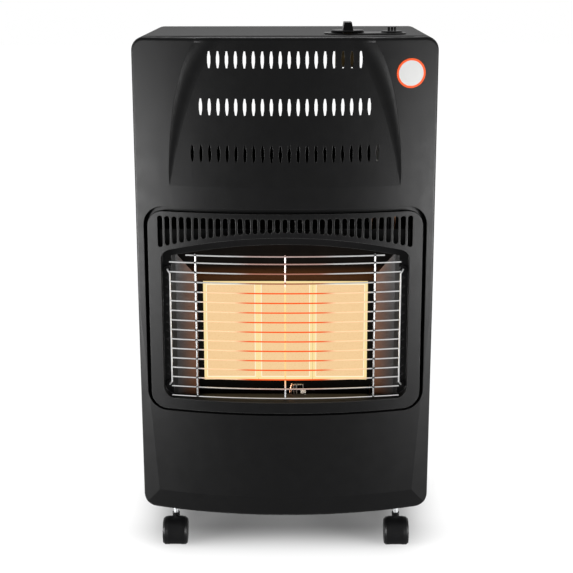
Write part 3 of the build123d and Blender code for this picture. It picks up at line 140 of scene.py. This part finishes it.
class Graph(Tree):
    """A new material's node tree, read in the object's own coordinates."""

    def __init__(self, name):
        self.material = bpy.data.materials.new(name)
        self.material.use_nodes = True
        super().__init__(self.material.node_tree)
        self.shader = self.nodes["Principled BSDF"]
        self.place = self.add("ShaderNodeTexCoord").outputs["Object"]

    def set(self, **values):
        """Plugs values into the shader's sockets, with _ in their names for a space."""
        for key, value in values.items():
            self.plug(value, self.shader.inputs[key.replace("_", " ")])

    def axes(self):
        node = self.add("ShaderNodeSeparateXYZ", {"Vector": self.place})
        return node.outputs["X"], node.outputs["Y"], node.outputs["Z"]

    def stretched(self, *scale):
        inputs = {"Vector": self.place, "Scale": scale}
        return self.add("ShaderNodeMapping", inputs).outputs["Vector"]

    def noise(self, scale, detail=2.0, rough=0.5, where=None):
        inputs = {
            "Vector": where or self.place, "Scale": scale, "Detail": detail, "Roughness": rough,
        }
        return self.add("ShaderNodeTexNoise", inputs).outputs["Fac"]

    def cells(self, scale):
        inputs = {"Vector": self.place, "Scale": scale}
        return self.add("ShaderNodeTexVoronoi", inputs).outputs["Distance"]

    def scaled(self, value, low, high, to_low, to_high, smooth=False):
        """The value's span from low to high mapped on to_low to to_high, and held beyond it."""
        node = self.add(
            "ShaderNodeMapRange",
            dict(enumerate((value, low, high, to_low, to_high))),
            clamp=True,
            interpolation_type="SMOOTHSTEP" if smooth else "LINEAR",
        )
        return node.outputs["Result"]

    def rising(self, value, low, high, smooth=False):
        return self.scaled(value, low, high, 0.0, 1.0, smooth)

    def falling(self, value, low, high, smooth=False):
        return self.scaled(value, low, high, 1.0, 0.0, smooth)

    def uneven(self, noise, low, high):
        """A noise brought to about the range from low to high."""
        return self.scaled(noise, *NOISE_SPAN, low, high)

    def mixed(self, factor, one, other):
        node = self.add("ShaderNodeMix", data_type="RGBA")
        self.plug(factor, node.inputs["Factor"])
        for key, value in (("A", one), ("B", other)):
            socket = next(s for s in node.inputs if s.name == key and s.type == "RGBA")
            self.plug((*value, 1.0) if isinstance(value, tuple) else value, socket)
        return next(s for s in node.outputs if s.type == "RGBA")

    def layered(self, colour, *layers):
        """A colour with others over it, each (mask, colour), the last on top."""
        for mask, over in layers:
            colour = self.mixed(mask, colour, over)
        return colour

    def ramp(self, value, *stops):
        """The colours of two stops, each (place, colour), and what lies between them."""
        node = self.add("ShaderNodeValToRGB", {"Fac": value})
        for point, (at, colour) in zip(node.color_ramp.elements, stops):
            point.position = at
            point.color = (*colour, 1.0)
        return node.outputs["Color"]

    def softened(self):
        """The normal, with edges worn or rolled round."""
        node = self.add("ShaderNodeBevel", {"Radius": EDGE_RADIUS}, samples=BEVEL_SAMPLES)
        return node.outputs["Normal"]

    def edge(self, softened):
        """1 along the sheet's edges and folds, 0 on its flats."""
        true = self.add("ShaderNodeNewGeometry").outputs["Normal"]
        node = self.add("ShaderNodeVectorMath", {0: softened, 1: true}, operation="DOT_PRODUCT")
        return self.falling(node.outputs["Value"], *EDGE_TO_FLAT)

    def bump(self, height, strength, distance, under=None):
        inputs = {"Strength": strength, "Distance": distance, "Height": height}
        if under is not None:
            inputs["Normal"] = under
        self.set(Normal=self.add("ShaderNodeBump", inputs).outputs["Normal"])


def times(colour, factor):
    return tuple(c * factor for c in colour)


# ---------------------------------------------------------------- materials of sheet and plastic

BLACK = (0.0013, 0.0013, 0.00135)
SKIMMING = (0.62, 0.88)  # Layer Weight's Facing, from gloss as seen flat on to gloss fully dulled


def powder_coat(name, sheen, edge_highlight_grey, dulled):
    """Satin black powder coat with fine orange peel.

    Its roughness is about sheen and rises to dulled at a skimming look; the third argument is
    the grey of a highlight painted along its edges and folds.
    """
    g = Graph(name)
    peel = g.noise(480.0, 4.0, 0.65)
    patches = g.noise(14.0, 3.0, 0.6)
    softened = g.softened()
    # A highlight painted in the colour along edges and folds, uneven along them.
    painted_edge_highlight = g.product(g.edge(softened), g.scaled(g.noise(45.0, 4.0, 0.6), 0.3, 0.65, 0.55, 1.0))
    facing = g.add("ShaderNodeLayerWeight", {"Blend": 0.5}).outputs["Facing"]
    glossiest = sheen - 0.03
    flat_on = g.uneven(g.noise(55.0, 4.0, 0.6), glossiest, sheen + 0.04)
    skimmed = g.scaled(facing, *SKIMMING, glossiest, dulled, smooth=True)
    g.set(
        Base_Color=g.layered(
            BLACK,
            (patches, times(BLACK, 1.35)),
            (painted_edge_highlight, (edge_highlight_grey, edge_highlight_grey, edge_highlight_grey * 0.98)),
        ),
        Roughness=g.maths("MAXIMUM", flat_on, skimmed),
        Specular_IOR_Level=0.062,
        IOR=1.5,
    )
    g.bump(peel, 0.30, 0.0004, softened)
    return g.material


def moulded(name, base, rough):
    """Moulded plastic with a fine spark-eroded grain."""
    g = Graph(name)
    tone = g.noise(40.0)
    g.set(
        Base_Color=g.mixed(tone, base, times(base, 1.3)),
        Roughness=g.uneven(tone, rough - 0.04, rough + 0.05),
        Specular_IOR_Level=0.06,
    )
    g.bump(g.cells(1500.0), 0.15, 0.00015, g.softened())
    return g.material


def brushed(name, base, rough, along, tint=None):
    """Bare metal with blotches, and with lines along the axis where along is smallest."""
    g = Graph(name)
    lines = g.noise(420.0, 4.0, 0.6, g.stretched(*along))
    blotch = g.rising(g.noise(22.0, 4.0, 0.65), *BLOTCH_SPAN)
    g.set(
        Base_Color=g.mixed(blotch, base, tint or times(base, 0.78)),
        Roughness=g.scaled(lines, 0.25, 0.75, rough - 0.08, rough + 0.1),
        Metallic=1.0,
    )
    g.bump(lines, 0.1, 0.0002)
    return g.material


def zinc(name):
    """Galvanised sheet with a faint spangle."""
    g = Graph(name)
    spangle = g.cells(70.0)
    widest = 0.6
    g.set(
        Base_Color=g.ramp(spangle, (0.0, (0.26, 0.265, 0.27)), (widest, (0.29, 0.295, 0.30))),
        Roughness=g.scaled(spangle, 0.0, widest, 0.47, 0.53),
        Metallic=1.0,
    )
    g.bump(g.noise(600.0), 0.08, 0.0002)
    return g.material


def glazed(name):
    """White glazed ceramic of the spark electrode."""
    g = Graph(name)
    g.set(
        Base_Color=g.mixed(g.noise(120.0, 3.0), (0.34, 0.31, 0.26), (0.40, 0.37, 0.32)),
        Roughness=g.uneven(g.noise(90.0), 0.12, 0.22),
        Coat_Weight=0.4,
        Coat_Roughness=0.08,
    )
    return g.material


def rubbery(name, base):
    """Matt silicone sleeve."""
    g = Graph(name)
    g.set(
        Base_Color=g.mixed(g.noise(50.0, 3.0), base, times(base, 1.4)),
        Roughness=g.uneven(g.noise(80.0), 0.5, 0.65),
    )
    g.bump(g.noise(800.0), 0.1, 0.0002)
    return g.material


# ---------------------------------------------------------------- plaques

RIM_WIDTH = 0.0052
LINE_WIDTH = 0.0010
RIM_BLUR = 0.0003
PORE_EDGE = (0.12, 0.34)  # distance from a cell's middle, in cells


def plaque_material(node):
    """Perforated ceramic, alight: a peach field with fine ports, in a yellow rim.

    The rim's inner line is white.
    """
    g = Graph("glowing_" + node)
    low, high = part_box(node)
    x, _, z = g.axes()
    ports = g.cells(640.0)
    drift = g.noise(30.0, 3.0)
    inward = g.maths("MINIMUM", g.within(x, low.x, high.x), g.within(z, low.z, high.z))
    rim = g.falling(inward, RIM_WIDTH - RIM_BLUR, RIM_WIDTH)
    line_start = RIM_WIDTH - LINE_WIDTH
    line = g.product(rim, g.rising(inward, line_start - RIM_BLUR, line_start))
    lit = g.layered(
        (0.74, 0.45, 0.20),
        (g.rising(ports, *PORE_EDGE), (0.88, 0.60, 0.31)),
        (g.product(drift, 0.25), (0.93, 0.66, 0.38)),
        (rim, (0.95, 0.75, 0.36)),
        (line, (0.99, 0.92, 0.70)),
    )
    g.set(
        Base_Color=g.mixed(drift, (0.010, 0.007, 0.005), (0.014, 0.010, 0.007)),
        Roughness=0.85,
        Specular_IOR_Level=0.02,
        Emission_Color=lit,
        Emission_Strength=1.0,
    )
    g.bump(ports, 0.3, 0.0004)
    return g.material


# ---------------------------------------------------------------- badge

BADGE_RIM = (0.845, 0.87)  # where white turns to orange, in parts of the radius


def badge_material():
    """Plain white disc with an orange rim."""
    g = Graph("plain_badge")
    low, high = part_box("round_badge")
    centre = (low + high) / 2
    radius = (high.z - low.z) / 2
    x, _, z = g.axes()
    out = g.length(g.maths("SUBTRACT", x, centre.x), g.maths("SUBTRACT", z, centre.z))
    rim = g.rising(g.maths("DIVIDE", out, radius), *BADGE_RIM)
    white = g.mixed(g.noise(60.0), (0.215, 0.215, 0.213), (0.235, 0.235, 0.232))
    g.set(
        Base_Color=g.mixed(rim, white, (0.32, 0.037, 0.006)),
        Roughness=0.5,
        Specular_IOR_Level=0.05,
    )
    g.bump(g.noise(900.0), 0.04, 0.0002)
    return g.material


# ---------------------------------------------------------------- wire guard

WIRE = 0.002
WIRE_BLUR = 0.0002
SIDE_ROD_AT = 0.1265
ROD_EDGE = (0.0016, 0.0019)  # aside from a rod's axis
# Where the glow painted on the wires ends: aside from the middle, and up or down (-) from the
# guard's foot or head.
RED_ASIDE = (0.044, 0.074)
PEACH_ASIDE = (0.112, 0.122)
GLOW_FOOT = (0.012, 0.034)
GLOW_HEAD = (-0.052, -0.040)
DIM_HEAD = (-0.034, 0.004)
DIM_LEFT = 0.35


def guard_material():
    """Bright plated wire, with a painted red glow before the middle plaque and a painted peach
    glow from the plaques beside it.
    """
    g = Graph("guard_wire")
    plaque_low, plaque_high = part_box("ceramic_plaque_centre")
    low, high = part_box("wire_guard")
    x, y, z = g.axes()

    aside = g.apart(x, (plaque_low.x + plaque_high.x) / 2)
    middle = g.falling(aside, *RED_ASIDE, smooth=True)
    over_plaques = g.falling(aside, *PEACH_ASIDE)
    foot = g.rising(z, *(low.z + up for up in GLOW_FOOT), smooth=True)
    head = g.falling(z, *(high.z + up for up in GLOW_HEAD), smooth=True)
    upper = g.scaled(z, *(high.z + up for up in DIM_HEAD), 1.0, DIM_LEFT)
    # Painted glow of the plaques, in colour and emission: red before the middle plaque, dimmer
    # higher up, peach before the others.
    painted_red_glow = g.product(foot, head, middle)
    painted_dim_glow = g.product(foot, upper, middle)
    painted_peach_glow = g.product(foot, head, over_plaques)

    back_of_wires = low.y + WIRE
    behind_wires = g.rising(y, back_of_wires, back_of_wires + WIRE_BLUR)
    middle_rod = g.product(g.falling(aside, *ROD_EDGE), behind_wires)
    side_rods = g.falling(g.apart(aside, SIDE_ROD_AT), *ROD_EDGE)
    rods = g.maths("MAXIMUM", side_rods, middle_rod)
    # The middle rod behind the wires gets the painted peach glow too.
    painted_glow_on_rod = g.product(middle_rod, painted_peach_glow)

    g.set(
        Base_Color=g.layered(
            (0.47, 0.47, 0.475),
            (g.noise(90.0, 3.0), (0.56, 0.56, 0.56)),
            (g.product(painted_peach_glow, 0.75), (0.50, 0.31, 0.16)),
            (g.product(painted_dim_glow, 0.9), (0.12, 0.032, 0.010)),
            (g.product(painted_red_glow, 0.95), (0.010, 0.002, 0.001)),
            (g.product(rods, 0.95), (0.04, 0.04, 0.04)),
            (painted_glow_on_rod, (0.012, 0.009, 0.004)),
        ),
        Roughness=g.uneven(g.noise(300.0), 0.30, 0.38),
        Metallic=1.0,
        Emission_Color=g.layered(
            (0.0, 0.0, 0.0),
            (g.product(painted_peach_glow, 0.8), (0.72, 0.42, 0.20)),
            (g.product(painted_dim_glow, 0.9), (0.24, 0.050, 0.010)),
            (painted_red_glow, (1.0, 0.11, 0.012)),
            (painted_glow_on_rod, (0.90, 0.66, 0.27)),
        ),
        Emission_Strength=1.0,
    )
    g.bump(g.noise(1200.0), 0.05, 0.0001)
    return g.material


# ---------------------------------------------------------------- sheet round the fire

# Where the glow painted above the burner starts and ends, up or down (-) from the burner
# housing's top.
PAINTED_GLOW_FOOT = (-0.012, -0.004)
PAINTED_GLOW_HEAD = (0.0, 0.020)
# Spans on a reflector for its painted highlight and painted glow: across from the burner to the
# outside, and up over the burner's height.
PAINTED_HIGHLIGHT_ACROSS = (0.3, 0.9)
PAINTED_HIGHLIGHT_UP = (0.62, 0.95)
PAINTED_GLOW_ACROSS = (0.0, 0.62)


def hood_material():
    """Heat-dark sheet, with a brown band of painted glow from the plaques above the burner's top.
    """
    g = Graph("heat_dark_sheet")
    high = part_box("burner_housing")[1]
    z = g.axes()[2]
    blotch = g.rising(g.noise(26.0, 4.0, 0.6), *BLOTCH_SPAN)
    # Painted glow: a brown band just above the burner's top.
    painted_glow_band = g.product(
        g.scaled(z, *(high.z + up for up in PAINTED_GLOW_HEAD), 0.9, 0.0, smooth=True),
        g.rising(z, *(high.z + up for up in PAINTED_GLOW_FOOT)),
    )
    g.set(
        Base_Color=g.layered(
            (0.0007, 0.0006, 0.0005),
            (blotch, (0.0015, 0.0011, 0.0008)),
            (painted_glow_band, (0.024, 0.0085, 0.0022)),
        ),
        Roughness=g.uneven(g.noise(70.0, 3.0), 0.42, 0.54),
        Specular_IOR_Level=0.035,
    )
    g.bump(g.noise(700.0, 3.0), 0.12, 0.0002)
    return g.material


def reflector_material():
    """Dark creased sheet, with a painted orange-brown glow at the burner and a painted highlight
    at the upper outer corner.
    """
    g = Graph("reflector_sheet")
    low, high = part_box("burner_housing")
    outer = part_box("reflector_right")[1]
    x, _, z = g.axes()
    past_burner = g.maths("SUBTRACT", g.maths("ABSOLUTE", x), high.x)
    across = g.rising(past_burner, 0.0, outer.x - high.x)
    up = g.rising(z, low.z, high.z)
    creases = g.noise(60.0, 4.0, 0.6, g.stretched(1.0, 1.0, 2.2))
    # Painted highlight: paler towards the upper outer corner.
    painted_highlight = g.product(g.rising(across, *PAINTED_HIGHLIGHT_ACROSS), g.rising(up, *PAINTED_HIGHLIGHT_UP, smooth=True))
    # Painted glow from the plaques: orange-brown close to the burner.
    painted_glow = g.scaled(across, *PAINTED_GLOW_ACROSS, 0.85, 0.0, smooth=True)
    g.set(
        Base_Color=g.layered(
            (0.0018, 0.0018, 0.0019),
            (creases, (0.008, 0.0078, 0.0078)),
            (painted_highlight, (0.014, 0.014, 0.014)),
            (painted_glow, (0.056, 0.019, 0.0050)),
        ),
        Roughness=g.uneven(creases, 0.36, 0.52),
        Specular_IOR_Level=0.06,
    )
    g.bump(creases, 0.35, 0.0012)
    return g.material


# ---------------------------------------------------------------- what wears which finish


def dress_solids():
    """Gives each solid a finish: its own where it has one, or else that of its record's slot."""
    coat = powder_coat("satin_black_coat", 0.385, 0.012, 0.95)
    surround_coat = powder_coat("satin_black_surround", 0.385, 0.05, 0.95)
    casing_coat = powder_coat("satin_black_casing", 0.52, 0.02, 0.60)
    heat_dark = hood_material()
    reflector = reflector_material()
    of_node = {
        "burner_surround": surround_coat,
        "casing": casing_coat,
        "rear_cover": casing_coat,
        "burner_housing": heat_dark,
        # The galvanised heat shield wears the dark sheet's finish: painted shade where it shows
        # through the grille slots.
        "heat_shield": heat_dark,
        "reflector_left": reflector,
        "reflector_right": reflector,
    }
    of_slot = {
        "satin_black_paint": coat,
        "badge": badge_material(),
        "black_plastic": moulded("black_moulding", (0.0016, 0.0016, 0.0017), 0.38),
        "wheel_plastic": moulded("wheel_moulding", (0.0014, 0.0014, 0.0015), 0.42),
        "heat_dark_steel": heat_dark,
        "aluminised_steel": brushed(
            "aluminised_sheet", (0.15, 0.147, 0.14), 0.45, (1.0, 1.0, 0.05), (0.11, 0.095, 0.08)
        ),
        "galvanised_steel": zinc("galvanised_sheet"),
        "stainless": brushed(
            "stainless_tip", (0.58, 0.57, 0.55), 0.27, (1.0, 1.0, 0.3), (0.48, 0.38, 0.28)
        ),
        "brass": brushed("turned_brass", (0.20, 0.14, 0.065), 0.42, (0.3, 0.3, 3.0)),
        "copper_tube": brushed("drawn_copper", (0.66, 0.34, 0.20), 0.28, (1.0, 1.0, 0.2)),
        "chrome_wire": guard_material(),
        "insulator_ceramic": glazed("white_glaze"),
        "lead_sleeve": rubbery("silicone_sleeve", (0.05, 0.05, 0.05)),
    }
    for name, solid in NODES.items():
        slot = solid.material_slots[0].material.name.split(".")[0]
        if slot == "plaque_ceramic":
            finish = plaque_material(name)
        else:
            finish = of_node.get(name, of_slot[slot])
        for material_slot in solid.material_slots:
            material_slot.material = finish


# ---------------------------------------------------------------- floor

FLOOR_SIZE = 24.0
# The floor's painted shadow, where less light is added for the camera, shows from the inset,
# inside the object's sides, to the reach beyond that.
SHADOW_INSET = (0.07, 0.126)
SHADOW_REACH = (0.12, 0.125)
NEAR_LIFT, FAR_LIFT = 0.74, 0.94  # light added for the camera
LIFT_SPAN = (3.0, 24.0)  # from near to far, in reaches


def make_floor():
    """Pale floor, lit up to white for the camera except close round the object's foot, where a
    shadow is painted.
    """
    mesh = bpy.data.meshes.new("floor")
    half = FLOOR_SIZE / 2
    corners = [(-half, -half, 0), (half, -half, 0), (half, half, 0), (-half, half, 0)]
    mesh.from_pydata(corners, [], [(0, 1, 2, 3)])
    floor = bpy.data.objects.new("floor", mesh)
    scene.collection.objects.link(floor)
    g = Graph("pale_floor")
    g.set(
        Base_Color=g.mixed(g.noise(3.0, 3.0), (0.16, 0.16, 0.16), (0.175, 0.175, 0.175)),
        Roughness=0.8,
        Specular_IOR_Level=0.1,
    )
    past = []
    for axis, near, far, inset, reach in zip(g.axes(), *cad_box, SHADOW_INSET, SHADOW_REACH):
        beyond = g.maths("SUBTRACT", g.apart(axis, (near + far) / 2), (far - near) / 2 - inset)
        past.append(g.maths("DIVIDE", g.maths("MAXIMUM", beyond, 0.0), reach))
    gap = g.length(*past)
    # Painted shadow: the added light fades out close round the object's foot.
    open_floor = g.rising(gap, 0.0, 1.0, smooth=True)
    lift = g.scaled(gap, *LIFT_SPAN, NEAR_LIFT, FAR_LIFT, smooth=True)
    strength = g.product(g.shown(), g.product(open_floor, lift))
    emit = g.add("ShaderNodeEmission", {"Strength": strength})
    both = g.add(
        "ShaderNodeAddShader", {0: g.shader.outputs["BSDF"], 1: emit.outputs["Emission"]}
    )
    g.plug(both.outputs["Shader"], g.nodes["Material Output"].inputs["Surface"])
    mesh.materials.append(g.material)


# ---------------------------------------------------------------- world and lamps

# Open fault: the lamps light the front at about 3.5 times the level at which a colour renders as
# it is written. The finishes are written that much darker to match, and look too dark elsewhere.

WORLD_LIGHT = 0.45
# Low softboxes on the floor round the front: degrees from -Y towards +X, and watts.
STANDING_BOXES = {
    "left_box": (-50.0, 43.0),
    "left_side_box": (-72.0, 66.0),
    "right_box": (50.0, 41.0),
    "right_side_box": (72.0, 50.0),
}
BOX_DISTANCE = 1.6
BOX_HEIGHT = 0.26
BOX_AIM = (0.0, 0.0, 0.36)
BOX_SIZE = (0.6, 0.48)
# Softboxes overhead: place, aim, size and watts.
HANGING_BOXES = {
    "top_box": ((0.0, 0.5, 2.3), (0.0, 0.0, 0.5), (1.6, 1.0), 22.0),
    "back_box": ((0.0, 1.6, 2.5), (0.0, 0.1, 0.4), (1.8, 1.0), 30.0),
}


def make_world():
    """White where it is shown, and a dimmer light on the scene."""
    world = bpy.data.worlds.new("studio")
    world.use_nodes = True
    scene.world = world
    tree = Tree(world.node_tree)
    strength = tree.maths("ADD", tree.product(tree.shown(), 1.0 - WORLD_LIGHT), WORLD_LIGHT)
    background = tree.nodes["Background"]
    tree.plug((1.0, 1.0, 1.0, 1.0), background.inputs["Color"])
    tree.plug(strength, background.inputs["Strength"])


def softbox(name, at, aim, size, watts):
    data = bpy.data.lights.new(name, "AREA")
    data.shape = "RECTANGLE"
    data.size, data.size_y = size
    data.energy = watts
    lamp = bpy.data.objects.new(name, data)
    lamp.location = at
    lamp.rotation_euler = (Vector(aim) - Vector(at)).to_track_quat("-Z", "Y").to_euler()
    lamp.visible_camera = False
    scene.collection.objects.link(lamp)


def make_lamps():
    for name, (azimuth, watts) in STANDING_BOXES.items():
        turn = math.radians(azimuth)
        at = (BOX_DISTANCE * math.sin(turn), -BOX_DISTANCE * math.cos(turn), BOX_HEIGHT)
        softbox(name, at, BOX_AIM, BOX_SIZE, watts)
    for name, placing in HANGING_BOXES.items():
        softbox(name, *placing)


# ---------------------------------------------------------------- all of it

make_camera()
dress_solids()
make_floor()
make_world()
make_lamps()
